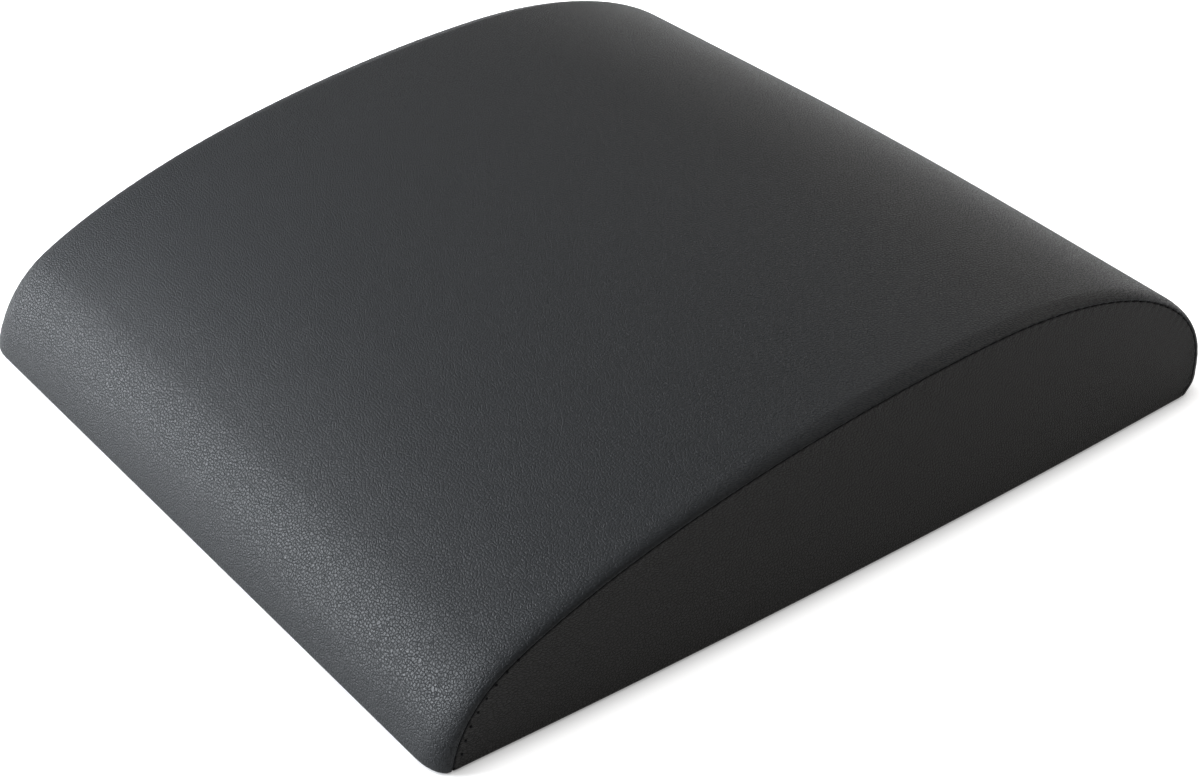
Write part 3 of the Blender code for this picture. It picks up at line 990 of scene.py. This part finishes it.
def base_ring(arch, inset, height):
    """A closed ring round the pad's foot at an inset from the cover's edge, from the nose's middle by -Y."""
    floor = settings().cover.base_roll
    side_y = -arch.half
    turns = np.linspace(0, pi / 2, ROLL_ROWS + 1)
    ends = []
    for end, way in ((0, 1), (-1, -1)):
        edge_x = arch.crown_row(0.0, floor, END_COLUMNS)[end, 0]
        roll_x = arch.roll_row(pi / 2, floor, END_COLUMNS)[end, 0]
        roll_y = arch.roll_row(0.0, floor, END_COLUMNS)[end, 1]
        reach_x = max(abs(roll_x - edge_x), inset + LEAST_CORNER)
        reach_y = max(roll_y - side_y, inset + LEAST_CORNER)
        x = edge_x + way * (reach_x - (reach_x - inset) * np.cos(turns))
        y = side_y + reach_y - (reach_y - inset) * np.sin(turns)
        middle_y = y[0] * np.arange(CROWN_ROWS) / CROWN_ROWS
        middle = np.column_stack((np.full(CROWN_ROWS, x[0]), middle_y))
        ends.append(np.vstack((middle, np.column_stack((x, y)))))
    nose, heel = ends
    shares = np.linspace(0, 1, stitch_count(arch) + 1)[1:-1, None]
    half = np.vstack((nose, nose[-1] + (heel[-1] - nose[-1]) * shares, heel[::-1]))
    half = np.column_stack((half, np.full(len(half), height)))
    return swell(np.vstack((half, mirrored(half[-2:0:-1]))))


class ABMAT_OT_base_panel(bpy.types.Operator):
    """Make the flat panel that the pad stands on, with its edge turned up into the base seam"""

    bl_idname = "ab_mat.base_panel"
    bl_label = "Base panel"

    def execute(self, context):
        cover = settings().cover
        arch = Arch()
        rings = [base_ring(arch, base_edge(), cover.base_lip + cover.base_allowance)]
        for turn in quarter(FOOT_STEPS)[::-1]:
            inset = base_edge() + cover.base_lip * (1 - cos(turn))
            rings.append(base_ring(arch, inset, cover.base_lip * (1 - sin(turn))))
        flat = rings[-1]
        for step in range(1, BASE_RINGS):
            rings.append(flat * (1 - (step / BASE_RINGS) ** BASE_RING_POWER))
        points = np.array(rings)
        index, faces = ring_faces(points)
        faces = np.roll(faces[:, ::-1], 1, axis=1)
        points = points.reshape(-1, 3)
        piece = mesh_object("base_panel_cover", points.tolist(), [*faces.tolist(), index[-1, ::-1].tolist()])
        lay_uv(piece.data, points[:, :2])
        piece.data.shade_smooth()
        thicken(piece, cover.leather)
        finish_piece(piece, leatherette("base"), "base_panel")
        return {"FINISHED"}


class ABMAT_OT_filling(bpy.types.Operator):
    """Make the firm foam core and the thin padding round it"""

    bl_idname = "ab_mat.filling"
    bl_label = "Filling"

    def execute(self, context):
        arch = Arch()
        columns = stitch_count(arch)
        self.core(arch, columns)
        self.top_padding(arch, columns)
        self.side_paddings(arch, columns)
        return {"FINISHED"}

    def core(self, arch, columns):
        cover = settings().cover
        filling = settings().filling
        cover_depth = cover.leather + filling.layer_gap
        depth = cover_depth + filling.top_padding + filling.layer_gap
        folds = max(base_edge() + cover.leather, cover.seam_lip + cover.seam_allowance)
        shoulder = filling.layer_gap + folds
        foot = arch.crown_row(0.0, cover.base_roll, columns)
        chamfer = filling.core_chamfer
        floor = base_clear()

        def ring(row, bottom):
            """A row of the core's top, and the corners of the chamfered bottom under it."""
            nose = max(row[0, 0] + filling.layer_gap, foot[0, 0] + shoulder)
            heel = min(row[-1, 0] - filling.layer_gap, foot[-1, 0] - shoulder)
            y = row[0, 1]
            low = ((heel - chamfer, y, bottom), (nose + chamfer, y, bottom))
            return np.vstack((row, (heel, y, floor), *low, (nose, y, floor)))

        side = cover_depth + filling.side_padding + filling.layer_gap
        edge = shoulder + filling.layer_gap
        rings = [
            ring(arch.seam_row(side, under_seam(), floor, columns), floor),
            ring(arch.seam_row(shoulder, under_seam(), floor, columns), floor),
            ring(arch.layer_row(1.0, edge, depth, floor, columns), floor),
        ]
        for step in range(CROWN_ROWS, -1, -1):
            row = arch.layer_row(step / CROWN_ROWS, edge + chamfer, depth, floor, columns)
            rings.append(ring(row, cover_depth))
        points = swell(both_halves(rings))
        index, faces = ring_faces(points)
        ends = (index[0, ::-1].tolist(), index[-1].tolist())
        piece = mesh_object("foam_core_block", points.reshape(-1, 3).tolist(), [*faces.tolist(), *ends])
        piece.data.shade_flat()
        material = foam("firm_foam", settings().finish.foam_colour, cell=0.0008, depth=0.0003)
        finish_piece(piece, material, "foam_core")

    def top_padding(self, arch, columns):
        cover = settings().cover
        filling = settings().filling
        edge = cover.seam_lip + cover.seam_allowance + filling.layer_gap
        depth = cover.leather + filling.layer_gap
        half = [
            arch.layer_row(step / CROWN_ROWS, edge, depth, filling.padding_foot, columns)
            for step in range(CROWN_ROWS, -1, -1)
        ]
        piece = grid_object("top_padding_sheet", swell(both_halves(half)))
        thicken(piece, filling.top_padding)
        finish_piece(piece, soft_padding(), "top_padding")

    def side_paddings(self, arch, columns):
        filling = settings().filling
        inset = settings().cover.leather + filling.layer_gap
        foot_height = settings().cover.base_lip + filling.layer_gap
        top = arch.seam_row(inset, under_seam(), foot_height + LEAST_COLUMN, columns)
        foot = foot_row(top, foot_height)
        rows = [foot + (top - foot) * step / SIDE_ROWS for step in range(SIDE_ROWS + 1)]
        for name, sheet in both_sides(swell(np.array(rows))):
            piece = grid_object(name + "_padding_sheet", sheet)
            thicken(piece, filling.side_padding)
            finish_piece(piece, soft_padding(), name + "_padding")


class ABMAT_OT_side_stitches(bpy.types.Operator):
    """Lay the thread in the two side seams, with the needle holes that show near the nose"""

    bl_idname = "ab_mat.side_stitches"
    bl_label = "Side stitches"

    def execute(self, context):
        sewing = settings().sewing
        cover = settings().cover
        arch = Arch()
        line = seam_line(arch)
        count = stitch_count(arch)
        along = lengths_along(line)
        pitch = along[-1] / count
        middle = np.linspace(pitch / 2, along[-1] - pitch / 2, KNOT_SAMPLES)
        middle = evenly(np.column_stack([np.interp(middle, along, axis) for axis in line.T]), KNOT_SAMPLES)
        holes = []
        for number in range(sewing.holes):
            drop = cover.seam_drop + sewing.hole_drop * (1 - number / sewing.holes)
            holes.append(swell(arch.seam_row(0.0, drop, cover.base_roll, count + 1))[number + 1])
        holes = evenly(np.array(holes), KNOT_SAMPLES)
        stitch = (pitch, sewing.stitch_length, sewing.thread_width)
        hole = (pitch, sewing.hole_width, sewing.hole_width)
        for name, side in (("right_side_thread", 1), ("left_side_thread", -1)):
            turned = np.array((1, side, 1))
            piece_name = name + "_stitches"
            stitches = stitched(piece_name, middle * turned, *stitch, tilt=sewing.tilt * side)
            dots = stitched(name + "_holes", holes * turned, *hole)
            finish_piece(joined(piece_name, [stitches, dots]), thread(), name)
        return {"FINISHED"}


class ABMAT_OT_base_stitches(bpy.types.Operator):
    """Lay the thread in the seam round the base panel"""

    bl_idname = "ab_mat.base_stitches"
    bl_label = "Base stitches"

    def execute(self, context):
        sewing = settings().sewing
        cover = settings().cover
        sunk = sqrt(2) * (sewing.thread_width / 2 + cover.seam_gap)
        height = cover.base_lip + cover.seam_gap / 2 - sunk
        ring = base_ring(Arch(), base_edge() - cover.seam_gap / 2, height)
        whole = lengths_along(np.vstack((ring, ring[:1])))[-1]
        stitch = (whole / round(whole / sewing.pitch), sewing.stitch_length, sewing.thread_width)
        piece = stitched("base_thread_stitches", ring, *stitch, closed=True)
        finish_piece(piece, thread(), "base_thread")
        return {"FINISHED"}


# Studio


def softbox(name, azimuth, elevation, size, energy, colour):
    """A square area lamp that shines on the pad from a direction given in degrees."""
    a, e = radians(azimuth), radians(elevation)
    way = Vector((cos(a) * cos(e), sin(a) * cos(e), sin(e)))
    data = bpy.data.lights.new(name, "AREA")
    data.size = size
    data.energy = energy
    data.color = colour
    made = link_object(name, data)
    made.location = way * LAMP_DISTANCE
    made.rotation_euler = (-way).to_track_quat("-Z", "Y").to_euler()


class ABMAT_OT_studio(bpy.types.Operator):
    """Set up the camera, the white floor, the lamps and the world"""

    bl_idname = "ab_mat.studio"
    bl_label = "Studio"

    def execute(self, context):
        self.camera(context)
        self.floor()
        self.world(context)
        for lamp in SOFTBOXES:
            softbox(*lamp)
        context.scene.view_settings.view_transform = "Standard"
        return {"FINISHED"}

    def camera(self, context):
        studio = settings().studio
        a, e = studio.azimuth, studio.elevation
        back = Vector((sin(a) * cos(e), -cos(a) * cos(e), sin(e)))
        data = bpy.data.cameras.new("camera")
        data.lens = studio.lens
        data.shift_x, data.shift_y = CAMERA_SHIFT
        made = link_object("camera", data)
        made.location = Vector(studio.aim) + back * studio.distance
        made.rotation_euler = (-back).to_track_quat("-Z", "Y").to_euler()
        context.scene.camera = made

    def floor(self):
        half = settings().studio.floor_size / 2
        corners = [(-half, -half, 0), (half, -half, 0), (half, half, 0), (-half, half, 0)]
        floor = mesh_object("floor", corners, [(0, 1, 2, 3)])
        floor.location.z = -FLOOR_DROP
        made, tree, shader = new_material("white_floor")
        path = add_node(tree, "ShaderNodeLightPath").outputs
        indirect = math(tree, "MAXIMUM", path["Is Glossy Ray"], path["Is Transmission Ray"])
        reflected = math(tree, "MULTIPLY", indirect, FLOOR_REFLECTION)
        straight = math(tree, "MULTIPLY", path["Is Camera Ray"], FLOOR_GLOW)
        open_sky = add_node(tree, "ShaderNodeAmbientOcclusion", {"Distance": CONTACT_SHADOW}).outputs["AO"]
        glow = math(tree, "MULTIPLY", math(tree, "MAXIMUM", straight, reflected), open_sky)
        values = {
            "Base Color": FLOOR_COLOUR,
            "Roughness": 0.9,
            "Specular IOR Level": 0.1,
            "Emission Color": WHITE,
            "Emission Strength": glow,
        }
        set_inputs(tree, shader, values)
        floor.data.materials.append(made)

    def world(self, context):
        world = bpy.data.worlds.new("studio")
        context.scene.world = world
        world.use_nodes = True
        tree = world.node_tree
        seen = add_node(tree, "ShaderNodeLightPath").outputs["Is Camera Ray"]
        strength = math(tree, "MAXIMUM", seen, WORLD_LIGHT)
        set_inputs(tree, tree.nodes["Background"], {"Color": WHITE, "Strength": strength})


STEPS = (
    ABMAT_OT_filling,
    ABMAT_OT_top_panel,
    ABMAT_OT_side_panels,
    ABMAT_OT_base_panel,
    ABMAT_OT_side_stitches,
    ABMAT_OT_base_stitches,
    ABMAT_OT_studio,
)


class ABMAT_PT_panel(bpy.types.Panel):
    """The pad's sizes and the steps that build it"""

    bl_label = "Ab mat"
    bl_space_type = "VIEW_3D"
    bl_region_type = "UI"
    bl_category = "Ab mat"

    def draw(self, context):
        layout = self.layout
        for step in STEPS:
            layout.operator(step.bl_idname)
        for group in ("pad", "cover", "filling", "sewing", "finish", "studio"):
            box = layout.box()
            box.label(text=group.capitalize())
            values = getattr(settings(), group)
            for name in values.bl_rna.properties.keys():
                if name not in ("rna_type", "name"):
                    box.prop(values, name)


CLASSES = (
    PadSizes,
    CoverSizes,
    FillingSizes,
    SewingSizes,
    Finishes,
    StudioSizes,
    AbMatSettings,
    *STEPS,
    ABMAT_PT_panel,
)


def register():
    for made in CLASSES:
        bpy.utils.register_class(made)
    bpy.types.Scene.ab_mat = PointerProperty(type=AbMatSettings)


def unregister():
    del bpy.types.Scene.ab_mat
    for made in reversed(CLASSES):
        bpy.utils.unregister_class(made)


def main():
    register()
    for step in STEPS:
        group, name = step.bl_idname.split(".")
        getattr(getattr(bpy.ops, group), name)()


if __name__ == "__main__":
    main()
